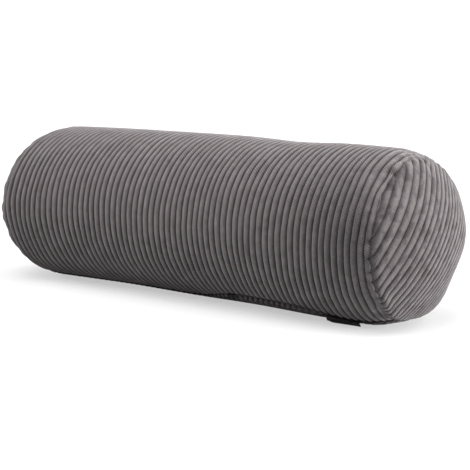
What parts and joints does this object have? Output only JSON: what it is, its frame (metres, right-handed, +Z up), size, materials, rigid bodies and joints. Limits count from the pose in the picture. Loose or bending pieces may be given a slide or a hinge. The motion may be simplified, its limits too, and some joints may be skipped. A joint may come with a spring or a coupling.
{
  "type": "neck roll cushion",
  "caption": "Plump cylindrical neck roll in wide-wale corduroy, with domed end discs, rolled end seams and a small blank woven label in the long seam.",
  "frame": {"origin": "on the floor under the middle of the roll's box", "axes": "+X along the roll towards the label's end, +Z up, -Y the side with the long seam"},
  "size_m": [0.4634, 0.1508, 0.1427],
  "materials": {
    "corduroy": "charcoal grey wide-wale corduroy, brushed nap with a soft sheen",
    "woven_tape": "tightly woven black tape, satin"
  },
  "bodies": {
    "root": {"body_panel": "corduroy", "end_disc_right": "corduroy", "end_disc_left": "corduroy", "label": "woven_tape"}
  },
  "joints": []
}
